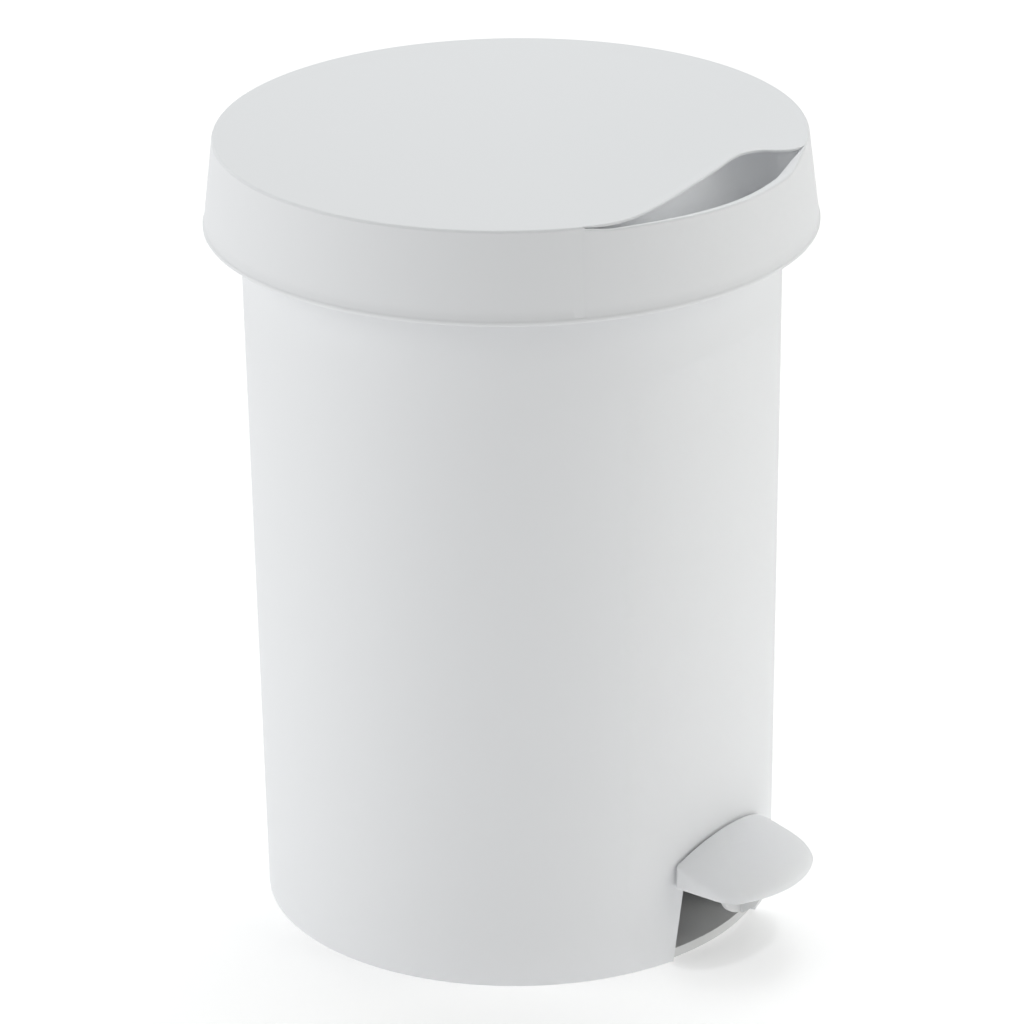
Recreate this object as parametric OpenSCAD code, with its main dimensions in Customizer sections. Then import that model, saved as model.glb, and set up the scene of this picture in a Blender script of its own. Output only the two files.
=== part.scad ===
// Round pedal bin: tapered body, lift-out bucket, hinged lid with a finger recess,
// and a pedal lever that raises the lid through a steel rod.
// Millimetres. Origin on the floor at the body's axis, +Z up, pedal towards -Y, hinge towards +Y.

/* [Outer body] */
// Outer diameter of the body at the floor
body_d_floor = 179.5; // [179:0.5:181]
// Outer diameter of the body at its rim
body_d_rim = 185.6; // [185:0.2:186.4]
// Height of the body's rim above the floor
body_h = 258; // [257:0.5:258.5]
// Wall thickness of the body
body_wall = 2; // [1.8:0.1:2.2]
// Width of the pedal notch at the floor
notch_w_floor = 48.8; // [46:0.2:50]
// Width of the pedal notch at its top
notch_w_top = 38.6; // [36:0.2:40]
// Height of the pedal notch
notch_h = 37; // [36:0.5:38]

/* [Lid] */
// Height of the closed lid's top above the floor
total_h = 280; // [280:0.5:284]
// Outer diameter of the skirt at its lower edge
lid_d_lower = 210.2; // [209.6:0.2:211]
// Outer diameter of the lid at its top edge
lid_d_upper = 202.6; // [202:0.2:203]
// Height of the skirt
skirt_h = 31.5; // [31:0.5:34]
// Wall thickness of the lid
lid_wall = 2; // [1.8:0.1:2.2]
// Depth of the finger recess below the lid's top
recess_depth = 16.4; // [14:0.2:16.6]
// How far the recess reaches back under the lip
lip_overhang = 9; // [6:0.5:10]
// How far the rim in front of the recess stands below the lid's top
rim_drop = 2.6; // [1:0.2:3]

/* [Bucket] */
// Outer diameter of the bucket under its flange
bucket_d_rim = 172; // [170:0.5:173]
// Outer diameter of the bucket at its floor
bucket_d_floor = 160; // [156:0.5:162]
// Height of the bucket's floor above the ground
bucket_z = 46; // [45:0.5:52]
// Wall thickness of the bucket
bucket_wall = 1.8; // [1.5:0.1:2]
// How deep the bail handle hangs below its pivots
handle_drop = 60; // [50:1:62]

/* [Pedal and linkage] */
// Width of the pedal pad
pad_w = 51; // [48:0.5:52]
// Distance of the pad's tip from the body's axis
pad_reach = 119.5; // [118:0.5:121]
// Diameter of the pedal axle
axle_d = 4; // [3.8:0.1:4.2]
// Diameter of the lift rod's wire
rod_d = 4; // [3.6:0.1:4]
// Diameter of the hinge pin
hinge_pin_d = 4; // [3.6:0.1:4.2]
// Angle through which the lid opens
lid_opening = 75; // [74:0.5:75]

/* [Hidden] */

WHITE = [0.93, 0.93, 0.94];
PALE_GREY = [0.78, 0.79, 0.80];
STEEL = [0.70, 0.71, 0.73];
RUBBER = [0.30, 0.30, 0.31];

// Radial play of a pin that turns in its hole, and of a screw in its pilot hole
running_play = 0.05;
screw_play = 0.02;
// Gap between parts that sit side by side
side_gap = 0.3;
tiny = 0.01;

axle_r = axle_d / 2;
rod_r = rod_d / 2;
hinge_pin_r = hinge_pin_d / 2;

// Base plate and its fixings
base_t = 3.5;
base_r = body_d_floor / 2 - body_wall - side_gap;
base_screw_radius = 83;
base_screw_angles = [40, 140, 215, 325];
base_boss_r = 5.5;
base_boss_top = 20;
pad_foot_r = 7;
pad_foot_t = 1.6;
pad_foot_radius = 70;

// Pedal axle, and where the lift rod stands when the lid is closed
pedal_y = -38;
pedal_z = 19;
rod_y = 81.8;
rod_low_z = 10;

// Lid hinge: the lift arm swings half below and half above the level of the pin
hinge_y = 97.5;
hinge_z = 254;
rod_high_z = hinge_z - (hinge_y - rod_y) * tan(lid_opening / 2);

// Linkage plates stand beside the rod, which bends sideways into them
link_x = 4.4;
link_t = 3;
bend_r = 4;
pin_end_x = 11.5;
clip_x = 8.2;
clip_t = 1.6;

// Hinge, from the middle outwards: lug slot, lid knuckles, bracket ears, pin caps
knuckle_x = 10.5;
knuckle_w = 5;
ear_x = 16.2;
ear_w = 4;
barrel_r = 4.2;
cap_x = 20.6;
cap_w = 2;

// Flat seats on the body behind the hinge bracket and the rod guide
hinge_seat_y = 93.8;
guide_seat_y = 88;
guide_z = 125;
guide_h = 14;
guide_screw_x = 10.5;
hinge_screw_x = 12;
hinge_screw_z = 242;

// Bucket
flange_t = 2;
bucket_top = body_h + flange_t;
flange_r = body_d_rim / 2 + 1.7;
channel_y = 72.5;
channel_half_w = 20;
handle_z = 248;
handle_half_span = 78;
handle_wire_r = 1.5;
handle_r = (pow(handle_half_span, 2) + pow(handle_drop, 2)) / (2 * handle_drop);
handle_end_angle = asin((handle_r - handle_drop) / handle_r);

// Pedal pad: a cap cut from a ball, over an outline with a bowed front
pad_dome_r = 57.5;
pad_dome_y = -87;
pad_dome_z = -14;
pad_rim_z = 29;
pad_wall = 2.2;
pad_front_r = 38;
pad_corner_r = 11;
pad_screw_x = 4.5;
pad_screw_y = -106.5;

// Stop foot under the lever: a cross plate with a rib in front of it
foot_y = -98;
foot_bottom_z = 13;
foot_plate_t = 1.6;
foot_plate_r = 12;

// Lift bracket and rubber bumpers under the lid
bracket_z = 268.6;
bracket_t = 2.4;
bracket_screw_x = [-7, 13.5];
bracket_screw_y = 84;
bumper_radius = 89.5;
bumper_angles = [-150, -30, 35, 145];
bumper_top = 264;

// Rounding of the lid's top edge, and width of the rim in front of the recess
lid_edge_r = 1;
rim_w = 2.6;

$fn = 96;

// Outer radius of the body, and of the lid's skirt, at a height above the floor
function body_r(z) = body_d_floor / 2 + (body_d_rim - body_d_floor) / 2 * z / body_h;
function skirt_r(z) = lid_d_upper / 2 + (lid_d_lower - lid_d_upper) / 2 * (total_h - z) / skirt_h;
function bucket_r(z) =
    bucket_d_floor / 2 + (bucket_d_rim - bucket_d_floor) / 2 * (z - bucket_z) / (body_h - bucket_z);

// Points along an arc from angle a0 to a1
function arc(cx, cy, r, a0, a1, steps = 8) =
    [for (i = [0:steps]) [cx + r * cos(a0 + (a1 - a0) * i / steps), cy + r * sin(a0 + (a1 - a0) * i / steps)]];

// Points of a smooth curve through p, by the Catmull-Rom rule, with its ends repeated
function spline_at(a, b, c, d, t) =
    0.5 * (2 * b + (c - a) * t + (2 * a - 5 * b + 4 * c - d) * t * t + (3 * b - a - 3 * c + d) * t * t * t);
function spline(p, steps = 5) = [
    for (i = [0:len(p) - 2], s = [0:steps - 1])
        spline_at(p[max(i - 1, 0)], p[i], p[i + 1], p[min(i + 2, len(p) - 1)], s / steps)
];

// Lip of the finger recess in plan: a long gentle S and a short return to the edge
lip_points = [
    [-78, -72], [-63, -79.5], [-45, -86.2], [-22, -85.4], [6, -80.8], [21, -78.2],
    [29, -78.8], [33, -82.5], [35.3, -88.5], [39, -91], [46, -91.5]
];

// Cylinder along X, from x to x + length, with its axis at y, z
module rod_x(x, length, y, z, r) {
    translate([x, y, z])
        rotate([0, 90, 0])
            cylinder(h = length, r = r);
}

// Cylinder along Y, from y to y + length, with its axis at x, z
module rod_y_axis(x, y, length, z, r) {
    translate([x, y, z])
        rotate([-90, 0, 0])
            cylinder(h = length, r = r);
}

// Box given by its lowest and highest corners
module block(low, high) {
    translate(low)
        cube(high - low);
}

// Plate of thickness t from x, cut to an outline in the YZ plane
module side_plate(x, t, outline) {
    translate([x, 0, 0])
        rotate([90, 0, 90])
            linear_extrude(t)
                polygon(outline);
}

// Ring along X that grips a pin's end
module pin_clip(x, t, y, z, pin_r, outer_r) {
    difference() {
        rod_x(x, t, y, z, outer_r);
        rod_x(x - 1, t + 2, y, z, pin_r + screw_play);
    }
}

// Screw along +Z with its head at the bottom, at the origin
module screw(head_r, head_t, shank_r, length) {
    union() {
        difference() {
            cylinder(h = head_t, r = head_r);
            // Cross recess
            for (turn = [0, 90])
                rotate([0, 0, turn])
                    block([-head_r * 0.6, -0.4, -1], [head_r * 0.6, 0.4, head_t * 0.55]);
        }
        cylinder(h = length, r = shank_r);
    }
}

module at_base_screws() {
    for (a = base_screw_angles)
        rotate([0, 0, a])
            translate([base_screw_radius, 0, 0])
                children();
}

// ---- Outer body -------------------------------------------------------------

module body_shell() {
    rotate_extrude($fn = 180)
        polygon([
            [body_r(0) - body_wall, 0],
            [body_r(0) - 0.6, 0],
            [body_r(0), 0.6],
            [body_r(body_h - 7), body_h - 7],
            [body_r(body_h) + 2.5, body_h - 4.5],
            [body_r(body_h) + 2.5, body_h - 0.8],
            [body_r(body_h) + 1.7, body_h],
            [body_r(body_h) - body_wall, body_h]
        ]);
}

// Gap in the wall that the pedal lever works in, narrower at the top
module pedal_notch() {
    r = 3;
    rotate([90, 0, 0])
        linear_extrude(120)
            polygon(concat(
                [[-notch_w_floor / 2, -1]],
                arc(-notch_w_top / 2 + r, notch_h - r, r, 180, 90),
                arc(notch_w_top / 2 - r, notch_h - r, r, 90, 0),
                [[notch_w_floor / 2, -1]]
            ));
}

module outer_body() {
    color(WHITE)
        difference() {
            union() {
                body_shell();
                intersection() {
                    union() {
                        // Bosses for the base screws
                        at_base_screws()
                            translate([0, 0, base_t])
                                cylinder(h = base_boss_top - base_t, r = base_boss_r);
                        // Seat for the rod guide
                        block([-18, guide_seat_y, guide_z - 10], [18, 95, guide_z + 10]);
                    }
                    cylinder(h = body_h, r1 = body_r(0) - tiny, r2 = body_r(body_h) - tiny, $fn = 180);
                }
                // Seat for the hinge bracket, with a sloped lower edge
                difference() {
                    side_plate(-22, 44, [
                        [86, 226], [90, 226], [hinge_seat_y, 234], [hinge_seat_y, 249], [86, 249]
                    ]);
                    cylinder(h = body_h, r1 = body_r(0) - body_wall + tiny,
                        r2 = body_r(body_h) - body_wall + tiny, $fn = 180);
                }
            }
            pedal_notch();
            // Slot in the rim behind the lift rod, wide enough for lid knuckles and bracket ears
            block([-22.5, 84, 249], [22.5, 100, body_h + 1]);
            at_base_screws()
                cylinder(h = 17, r = 1.7 + screw_play);
            for (side = [-1, 1]) {
                rod_y_axis(side * guide_screw_x, guide_seat_y - 1, 3, guide_z, 1.3 + screw_play);
                rod_y_axis(side * hinge_screw_x, hinge_seat_y - 3.7, 5, hinge_screw_z, 1.5 + screw_play);
            }
        }
}

module base_plate() {
    color(WHITE)
        difference() {
            union() {
                cylinder(h = base_t, r = base_r, $fn = 180);
                // Bearing posts for the pedal axle
                for (side = [-1, 1]) {
                    rod_x(side * 16.2 - 2, 4, pedal_y, pedal_z, 7);
                    block([side * 16.2 - 2, pedal_y - 7, base_t - 1], [side * 16.2 + 2, pedal_y + 7, pedal_z]);
                    // Gusset behind each post
                    side_plate(side * 16.2 - 2, 4, [
                        [pedal_y + 6, base_t - 1], [pedal_y + 22, base_t - 1], [pedal_y + 6, pedal_z - 2]
                    ]);
                }
                // Stiffening rings
                for (r = [58, 34])
                    translate([0, 0, base_t])
                        difference() {
                            cylinder(h = 2, r = r);
                            translate([0, 0, -1])
                                cylinder(h = 4, r = r - 1.8);
                            // Gap for the lever
                            block([-21, -90, -1], [21, 90, 4]);
                        }
            }
            rod_x(-30, 60, pedal_y, pedal_z, axle_r + screw_play);
            // Recess between the middle disc and the stand ring
            translate([0, 0, -1])
                difference() {
                    cylinder(h = 2, r = 56);
                    translate([0, 0, -1])
                        cylinder(h = 4, r = 24);
                }
            at_base_screws() {
                translate([0, 0, -1])
                    cylinder(h = 10, r = 1.9);
                translate([0, 0, -1])
                    cylinder(h = 3.4, r = 3.9);
            }
            for (a = [0:90:270])
                rotate([0, 0, a])
                    translate([pad_foot_radius, 0, -1])
                        cylinder(h = 1 + pad_foot_t, r = pad_foot_r + screw_play);
        }
}

module base_screws() {
    color(STEEL)
        at_base_screws()
            translate([0, 0, 0.6])
                screw(3.6, 1.8, 1.7, 15);
}

module anti_slip_pads() {
    color(RUBBER)
        for (a = [0:90:270])
            rotate([0, 0, a])
                translate([pad_foot_radius, 0, 0])
                    cylinder(h = pad_foot_t, r = pad_foot_r);
}

module pedal_axle() {
    color(STEEL)
        rod_x(-22, 44, pedal_y, pedal_z, axle_r);
}

module axle_clips() {
    color(STEEL)
        for (x = [-18.6 - clip_t, 18.6])
            pin_clip(x, clip_t, pedal_y, pedal_z, axle_r, 4.4);
}

// Two prongs that keep the lift rod in line sideways and let it swing in and out
module rod_guide() {
    color(WHITE)
        difference() {
            union() {
                block([-14, guide_seat_y - 2.4, guide_z - 6], [14, guide_seat_y - tiny, guide_z + 6]);
                for (side = [-1, 1])
                    block([side * 4 - 1.5, 74.5, guide_z - guide_h / 2],
                        [side * 4 + 1.5, guide_seat_y - tiny, guide_z + guide_h / 2]);
            }
            for (x = [-guide_screw_x, guide_screw_x])
                rod_y_axis(x, 80, 12, guide_z, 1.5);
        }
}

module guide_screws() {
    color(STEEL)
        for (x = [-guide_screw_x, guide_screw_x])
            translate([x, guide_seat_y - 2.4 - 1.4, guide_z])
                rotate([-90, 0, 0])
                    screw(2.6, 1.4, 1.3, 5.4);
}

// ---- Hinge ------------------------------------------------------------------

module hinge_bracket() {
    color(WHITE)
        difference() {
            union() {
                block([-21, hinge_seat_y + tiny, 235], [21, hinge_seat_y + 2.5, 248.6]);
                for (side = [-1, 1]) {
                    x = side > 0 ? ear_x : -ear_x - ear_w;
                    rod_x(x, ear_w, hinge_y, hinge_z, barrel_r);
                    side_plate(x, ear_w, [
                        [hinge_seat_y + 0.3, 236], [hinge_seat_y + 2.5, 236], [hinge_y + barrel_r, hinge_z - 3],
                        [hinge_y + barrel_r, hinge_z], [hinge_seat_y + 0.3, hinge_z]
                    ]);
                }
            }
            rod_x(-30, 60, hinge_y, hinge_z, hinge_pin_r + screw_play);
            for (x = [-hinge_screw_x, hinge_screw_x])
                rod_y_axis(x, hinge_seat_y - 1, 6, hinge_screw_z, 1.7);
        }
}

module hinge_screws() {
    color(STEEL)
        for (x = [-hinge_screw_x, hinge_screw_x])
            translate([x, hinge_seat_y + 2.5 + 1.6, hinge_screw_z])
                rotate([90, 0, 0])
                    screw(3, 1.6, 1.5, 7.2);
}

module hinge_pin() {
    color(STEEL)
        rod_x(-22, 44, hinge_y, hinge_z, hinge_pin_r);
}

module hinge_pin_caps() {
    color(WHITE)
        for (x = [-cap_x - cap_w, cap_x])
            pin_clip(x, cap_w, hinge_y, hinge_z, hinge_pin_r, 3.4);
}

// ---- Bucket -----------------------------------------------------------------

// Tapered pot with a flat channel at the back for the lift rod
module bucket_solid(inset, z_low, z_high) {
    difference() {
        translate([0, 0, z_low])
            cylinder(h = z_high - z_low, r1 = bucket_r(z_low) - inset, r2 = bucket_r(z_high) - inset, $fn = 144);
        block([-channel_half_w - inset, channel_y - inset, z_low - 1],
            [channel_half_w + inset, 120, z_high + 1]);
    }
}

module inner_bucket() {
    color(PALE_GREY)
        difference() {
            union() {
                bucket_solid(0, bucket_z, bucket_top);
                // Flange that hangs on the body's rim, open at the channel
                difference() {
                    translate([0, 0, body_h + tiny])
                        cylinder(h = flange_t - tiny, r = flange_r, $fn = 144);
                    block([-channel_half_w - 2.5, channel_y, body_h - 1],
                        [channel_half_w + 2.5, 120, bucket_top + 1]);
                }
            }
            bucket_solid(bucket_wall, bucket_z + bucket_wall, bucket_top + 1);
            rod_x(-100, 200, 0, handle_z, 3);
        }
}

module handle_bushes() {
    color(PALE_GREY)
        for (side = [0, 180])
            rotate([0, 0, side])
                difference() {
                    union() {
                        rod_x(80.9, 2.4, 0, handle_z, 4.6);
                        rod_x(83, 4.5, 0, handle_z, 3 - screw_play);
                    }
                    rod_x(80, 10, 0, handle_z, handle_wire_r + running_play);
                }
}

module bucket_handle() {
    color(STEEL)
        union() {
            translate([0, 0, handle_z - handle_drop + handle_r])
                rotate([90, 0, 0])
                    rotate_extrude(angle = 180 - 2 * handle_end_angle, start = 180 + handle_end_angle, $fn = 120)
                        translate([handle_r, 0])
                            circle(r = handle_wire_r, $fn = 24);
            for (side = [0, 180])
                rotate([0, 0, side]) {
                    translate([handle_half_span, 0, handle_z])
                        sphere(r = handle_wire_r, $fn = 24);
                    rod_x(handle_half_span, 10.4, 0, handle_z, handle_wire_r);
                }
        }
}

module handle_grip() {
    grip_angle = 54;
    color(PALE_GREY)
        translate([0, 0, handle_z - handle_drop + handle_r])
            rotate([90, 0, 0])
                rotate_extrude(angle = grip_angle, start = 270 - grip_angle / 2, $fn = 120)
                    translate([handle_r, 0])
                        difference() {
                            circle(r = 4.6, $fn = 32);
                            circle(r = handle_wire_r + screw_play, $fn = 24);
                        }
}

// ---- Pedal ------------------------------------------------------------------

// Outline of the pad in plan, drawn in by an inset
module pad_outline(inset) {
    w = pad_w / 2 - inset;
    front = pad_front_r - inset;
    front_y = -pad_reach + pad_front_r;
    back_r = body_r(pad_rim_z) + 1 + inset;
    corner = pad_corner_r - inset;
    // Where the corner arc touches the side and the front arc
    corner_y = front_y - sqrt(pow(front - corner, 2) - pow(w - corner, 2));
    corner_a = atan2(corner_y - front_y, w - corner);
    difference() {
        polygon(concat(
            [[w, -60], [w, corner_y]],
            arc(w - corner, corner_y, corner, 0, corner_a, 6),
            arc(0, front_y, front, corner_a, -180 - corner_a, 16),
            arc(corner - w, corner_y, corner, -180 - corner_a, -180, 6),
            [[-w, corner_y], [-w, -60]]
        ));
        circle(r = back_r, $fn = 180);
    }
}

module pad_solid(inset) {
    intersection() {
        translate([0, 0, inset > 0 ? pad_rim_z - 1 : pad_rim_z])
            linear_extrude(30)
                pad_outline(inset);
        translate([0, pad_dome_y, pad_dome_z])
            sphere(r = pad_dome_r - inset, $fn = 120);
    }
}

module pedal_pad() {
    color(WHITE)
        difference() {
            union() {
                difference() {
                    pad_solid(0);
                    pad_solid(pad_wall);
                }
                // Ribs that stand on the lever, and the screws' bosses
                intersection() {
                    pad_solid(tiny);
                    union() {
                        for (y = [-107, -94])
                            block([-24, y - 0.8, 34.2], [24, y + 0.8, 45]);
                        at_pad_screws(34.2)
                            cylinder(h = 12, r = 3.6);
                    }
                }
            }
            at_pad_screws(30)
                cylinder(h = 7.5, r = 1.5 + screw_play);
            // Gap in the back wall that the lever comes in through
            block([-10.5, -98, pad_rim_z - 1], [10.5, -85, 34.6]);
        }
}

// Places of the two screws that hold the pad on the lever, either side of the stop foot's rib
module at_pad_screws(z) {
    for (x = [-pad_screw_x, pad_screw_x])
        translate([x, pad_screw_y, z])
            children();
}

// Foot that meets the floor first: a plate with a round lower edge, and a rib that tapers forwards
module stop_foot() {
    plate_z = foot_bottom_z + 0.5 + foot_plate_r;
    translate([0, foot_y + foot_plate_t, 0])
        rotate([90, 0, 0])
            linear_extrude(foot_plate_t)
                polygon(concat([[9.5, 33], [-9.5, 33]], arc(0, plate_z, foot_plate_r, 188, 352, 16)));
    side_plate(-1.2, 2.4, [
        [foot_y + 0.8, 33], [foot_y + 0.8, foot_bottom_z + 0.6], [foot_y - 0.6, foot_bottom_z],
        [foot_y - 6.4, 17.4], [foot_y - 9, 22], [foot_y - 10, 28], [foot_y - 10.2, 33]
    ]);
}

// Channel-shaped lever: a top web, two cheeks, a hub on the axle and a slotted tongue at the back
module pedal_lever() {
    top = [[-110, 34], [-86, 34], [pedal_y, 26], [74, 16]];
    cheek = concat(top, [[74, 8], [pedal_y - 2, 12.2], [-84, 24.5], [-93, 27], [-110, 30]]);
    web = concat(top, [[74, 13.6], [pedal_y, 23.6], [-86, 31.6], [-110, 31.6]]);
    slot_angle = atan2(rod_low_z - pedal_z, rod_y - pedal_y);
    slot_r = rod_r + 0.65;
    color(WHITE)
        difference() {
            union() {
                for (x = [-9.5, 7.5])
                    side_plate(x, 2, cheek);
                side_plate(-9.5, 19, web);
                rod_x(-13.6, 27.2, pedal_y, pedal_z, 5.5);
                side_plate(link_x, link_t, [[56, 16], [76, 15], [86.4, 14], [86.4, 6], [76, 5.5], [56, 8]]);
                stop_foot();
            }
            rod_x(-30, 60, pedal_y, pedal_z, axle_r + running_play);
            // Slot that lets the rod's foot slide as the lever swings
            translate([0, pedal_y, pedal_z])
                rotate([slot_angle, 0, 0])
                    translate([0, norm([rod_y - pedal_y, rod_low_z - pedal_z]), 0]) {
                        rod_x(0, 20, -4.8, 0, slot_r);
                        rod_x(0, 20, 0.7, 0, slot_r);
                        block([0, -4.8, -slot_r], [20, 0.7, slot_r]);
                    }
            at_pad_screws(20)
                cylinder(h = 20, r = 1.7);
        }
}

module pedal_screws() {
    color(STEEL)
        at_pad_screws(30)
            screw(2.6, 1.6, 1.5, 6.8);
}

// ---- Lift rod ---------------------------------------------------------------

module lift_rod() {
    color(STEEL)
        union() {
            translate([0, rod_y, rod_low_z + bend_r])
                cylinder(h = rod_high_z - rod_low_z - 2 * bend_r, r = rod_r);
            // Bends into the two pins
            translate([bend_r, rod_y, rod_low_z + bend_r])
                rotate([90, 0, 0])
                    rotate_extrude(angle = 90, start = 180)
                        translate([bend_r, 0])
                            circle(r = rod_r, $fn = 32);
            translate([bend_r, rod_y, rod_high_z - bend_r])
                rotate([90, 0, 0])
                    rotate_extrude(angle = 90, start = 90)
                        translate([bend_r, 0])
                            circle(r = rod_r, $fn = 32);
            for (z = [rod_low_z, rod_high_z])
                rod_x(bend_r, pin_end_x - bend_r, rod_y, z, rod_r);
        }
}

module rod_lower_clip() {
    color(STEEL)
        pin_clip(clip_x, clip_t, rod_y, rod_low_z, rod_r, 3.4);
}

module rod_upper_clip() {
    color(STEEL)
        pin_clip(clip_x, clip_t, rod_y, rod_high_z, rod_r, 3.4);
}

// ---- Lid --------------------------------------------------------------------

// Half section of the lid between its outer surface drawn in by an inset, and the axis
module lid_section(inset, edge_r) {
    top = total_h - inset;
    low = total_h - skirt_h;
    r_top = skirt_r(top) - inset;
    polygon(concat(
        [[0, low], [skirt_r(low) - inset, low]],
        arc(r_top - edge_r, top - edge_r, edge_r, 0, 90, 6),
        [[0, top]]
    ));
}

// Plan of the finger recess, pushed back under the lip
module recess_plan(push) {
    polygon(concat(
        [for (p = spline(lip_points)) [p.x, p.y + push]],
        [[60 + push, -91.5 + push], [60, -130], [-90, -130]]
    ));
}

// Ring-shaped trough with a rounded foot, under the lid's edge
module recess_trough(outer, floor_z, top_z, foot_r) {
    rotate_extrude($fn = 144)
        polygon(concat(
            [[55, floor_z]],
            arc(outer - foot_r, floor_z + foot_r, foot_r, -90, 0, 6),
            [[outer, top_z], [55, top_z]]
        ));
}

module lid_envelope() {
    rotate_extrude($fn = 144)
        lid_section(0, lid_edge_r);
}

// Cylinder that the recess opens within
module recess_reach() {
    cylinder(h = total_h + 20, r = lid_d_upper / 2 - rim_w, $fn = 144);
}

// Window in the skirt that the hinge sits in
module hinge_window() {
    block([-25, 88, 240], [25, 120, hinge_z + 6]);
}

module lid() {
    floor_z = total_h - recess_depth;
    plate_z = total_h - lid_wall;
    bead_r = lid_d_lower / 2 + 0.35;
    color(WHITE)
        difference() {
            union() {
                difference() {
                    union() {
                        lid_envelope();
                        // Bead along the skirt's lower edge
                        rotate_extrude($fn = 144)
                            translate([0, total_h - skirt_h])
                                polygon([[90, 0], [bead_r, 0], [bead_r, 1], [bead_r - 0.3, 1.6], [90, 1.6]]);
                    }
                    translate([0, 0, -tiny])
                        rotate_extrude($fn = 144)
                            lid_section(lid_wall, lid_edge_r);
                    hinge_window();
                    translate([0, 0, total_h - rim_drop])
                        linear_extrude(10)
                            recess_plan(0);
                    intersection() {
                        translate([0, 0, plate_z - 3])
                            linear_extrude(10)
                                recess_plan(0);
                        recess_reach();
                    }
                }
                // Walls and floor of the finger recess
                difference() {
                    intersection() {
                        recess_trough(skirt_r(270) - 1, floor_z - lid_wall, plate_z + tiny, 12);
                        translate([0, 0, 200])
                            linear_extrude(100)
                                recess_plan(lip_overhang + lid_wall);
                        lid_envelope();
                    }
                    intersection() {
                        recess_trough(lid_d_upper / 2 - rim_w, floor_z, plate_z, 11);
                        translate([0, 0, 200])
                            linear_extrude(100)
                                recess_plan(lip_overhang);
                    }
                    intersection() {
                        translate([0, 0, plate_z - tiny])
                            linear_extrude(10)
                                recess_plan(0);
                        recess_reach();
                    }
                    // Lowered rim in front of the recess
                    translate([0, 0, total_h - rim_drop])
                        linear_extrude(10)
                            recess_plan(0);
                }
                // Hinge arms and knuckles
                intersection() {
                    union()
                        for (side = [-1, 1]) {
                            x = side > 0 ? knuckle_x : -knuckle_x - knuckle_w;
                            rod_x(x, knuckle_w, hinge_y, hinge_z, barrel_r);
                            block([x, hinge_y - barrel_r, hinge_z], [x + knuckle_w, hinge_y + 4, plate_z + 1]);
                        }
                    union() {
                        lid_envelope();
                        block([-30, 80, 240], [30, hinge_y + barrel_r, hinge_z + 6]);
                    }
                }
                // Bosses for the lift bracket and posts for the bumpers
                at_bracket_screws(bracket_z + bracket_t)
                    cylinder(h = plate_z + 1 - bracket_z - bracket_t, r = 4);
                at_bumpers()
                    translate([0, 0, bumper_top])
                        cylinder(h = plate_z + 1 - bumper_top, r = 4.2);
            }
            rod_x(-40, 80, hinge_y, hinge_z, hinge_pin_r + running_play);
            at_bracket_screws(bracket_z + bracket_t - 1)
                cylinder(h = 6.6, r = 1.4 + screw_play);
            at_bumpers()
                translate([0, 0, bumper_top - 1])
                    cylinder(h = 5, r = 1.6);
        }
}

module at_bumpers() {
    for (a = bumper_angles)
        rotate([0, 0, a])
            translate([bumper_radius, 0, 0])
                children();
}

// Places of the two screws that hold the lift bracket under the lid
module at_bracket_screws(z) {
    for (x = bracket_screw_x)
        translate([x, bracket_screw_y, z])
            children();
}

// Plate under the lid with a lug that the lift rod's upper pin turns in
module lift_bracket() {
    color(WHITE)
        difference() {
            union() {
                block([-12, 77, bracket_z], [18.5, 91, bracket_z + bracket_t - tiny]);
                side_plate(link_x, link_t, concat(
                    [[78, 270], [78, 262]],
                    arc(rod_y, rod_high_z, 4, 190, 340, 10),
                    [[90.5, 262], [90.5, 270]]
                ));
            }
            rod_x(0, 20, rod_y, rod_high_z, rod_r + running_play);
            at_bracket_screws(bracket_z - 10)
                cylinder(h = 20, r = 1.6);
        }
}

module bracket_screws() {
    color(STEEL)
        at_bracket_screws(bracket_z - 1.5)
            screw(2.8, 1.5, 1.4, 9);
}

module lid_bumpers() {
    color(RUBBER)
        at_bumpers()
            union() {
                translate([0, 0, bucket_top + side_gap])
                    cylinder(h = bumper_top - bucket_top - side_gap, r = 4.2);
                translate([0, 0, bumper_top - 1])
                    cylinder(h = 4.5, r = 1.6 - screw_play);
            }
}

outer_body();
base_plate();
base_screws();
anti_slip_pads();
pedal_axle();
axle_clips();
rod_guide();
guide_screws();
hinge_bracket();
hinge_screws();
hinge_pin();
hinge_pin_caps();
inner_bucket();
handle_bushes();
bucket_handle();
handle_grip();
pedal_lever();
pedal_pad();
pedal_screws();
lift_rod();
rod_lower_clip();
rod_upper_clip();
lid();
lift_bracket();
bracket_screws();
lid_bumpers();
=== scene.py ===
"""Round pedal bin: moulded lid with a finger recess, tapered body, pedal and lift-out bucket.

Metres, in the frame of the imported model: +Z up, pedal towards -Y, hinge towards +Y.
"""

import math

import bmesh
import bpy
import numpy as np
from bpy.props import FloatProperty, FloatVectorProperty, PointerProperty
from mathutils import Matrix, Vector


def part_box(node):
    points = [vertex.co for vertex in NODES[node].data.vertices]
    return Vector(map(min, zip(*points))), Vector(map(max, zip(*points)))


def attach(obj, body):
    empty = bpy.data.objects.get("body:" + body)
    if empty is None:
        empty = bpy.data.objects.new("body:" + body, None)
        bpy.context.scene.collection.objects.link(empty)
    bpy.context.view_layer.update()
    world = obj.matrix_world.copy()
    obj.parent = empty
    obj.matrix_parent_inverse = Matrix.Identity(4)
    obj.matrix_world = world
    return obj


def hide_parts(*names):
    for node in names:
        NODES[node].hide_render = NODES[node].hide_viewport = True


bl_info = {
    "name": "Round Pedal Bin",
    "version": (1, 0, 0),
    "blender": (4, 5, 0),
    "location": "View3D > Sidebar > Pedal Bin",
    "description": "Builds the visible skins and finishes of a round pedal bin around its packed frame",
    "category": "Object",
}

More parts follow.
